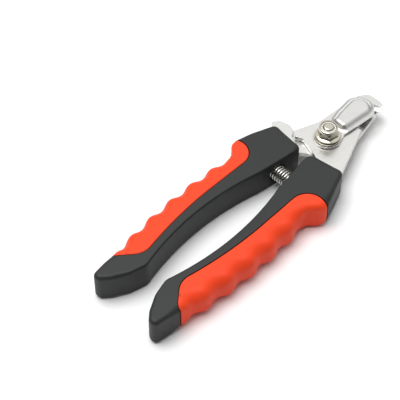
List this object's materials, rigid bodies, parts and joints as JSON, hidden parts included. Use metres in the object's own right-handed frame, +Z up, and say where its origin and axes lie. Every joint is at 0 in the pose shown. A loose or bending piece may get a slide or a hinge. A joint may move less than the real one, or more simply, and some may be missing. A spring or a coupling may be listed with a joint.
{
  "type": "pet nail clipper",
  "caption": "Plier-type pet nail clipper with crossed blade levers on a bolt, finger-waved soft grips, a coil spring, a swinging lock lever and a raised safety guard over the jaws.",
  "frame": {"origin": "centre of the bounding box in plan, on the plane that both handles lie on", "axes": "+X forward along the centreline to the blade tips, +Y towards the left lever, +Z up along the pivot bolt towards its nut"},
  "size_m": [0.1566, 0.0528, 0.0173],
  "materials": {
    "black_moulding": "fine matt moulded nylon",
    "orange_rubber": "satin moulded soft rubber",
    "satin_steel": "satin stainless steel",
    "nickel_plate": "bright nickel plate",
    "spring_wire": "bright drawn wire",
    "pale_nylon": "pale nylon"
  },
  "bodies": {
    "right_lever": {"right_handle_core": "black_moulding", "right_grip": "orange_rubber", "right_blade_plate": "satin_steel", "pivot_bolt": "nickel_plate", "pivot_bush": "satin_steel", "head_washer": "nickel_plate", "nut_washer": "nickel_plate", "flange_nut": "nickel_plate", "nut_insert": "pale_nylon", "return_spring": "spring_wire"},
    "left_lever": {"left_handle_core": "black_moulding", "left_grip": "orange_rubber", "left_blade_plate": "satin_steel", "lock_pin": "satin_steel", "lock_washer": "satin_steel"},
    "lock": {"lock_lever": "satin_steel"},
    "guard": {"safety_guard": "satin_steel"}
  },
  "joints": [
    {"name": "handle_pivot", "type": "hinge", "parent": "right_lever", "child": "left_lever", "pos_m": [0.04532, 0, 0.0071], "axis": [0, 0, -1], "range_deg": [0, 26], "deforming": ["return_spring"]},
    {"name": "lock_swing", "type": "hinge", "parent": "left_lever", "child": "lock", "pos_m": [0.02582, 0.009, 0.00815], "axis": [0, 0, 1], "range_deg": [0, 35]},
    {"name": "guard_swing", "type": "hinge", "parent": "right_lever", "child": "guard", "pos_m": [0.04532, 0, 0.0102], "axis": [0, 0, 1], "range_deg": [-90, 70]}
  ],
  "couplings": [
    {"joint": "lock_swing", "follows": "handle_pivot", "ratio": 1.25}
  ]
}
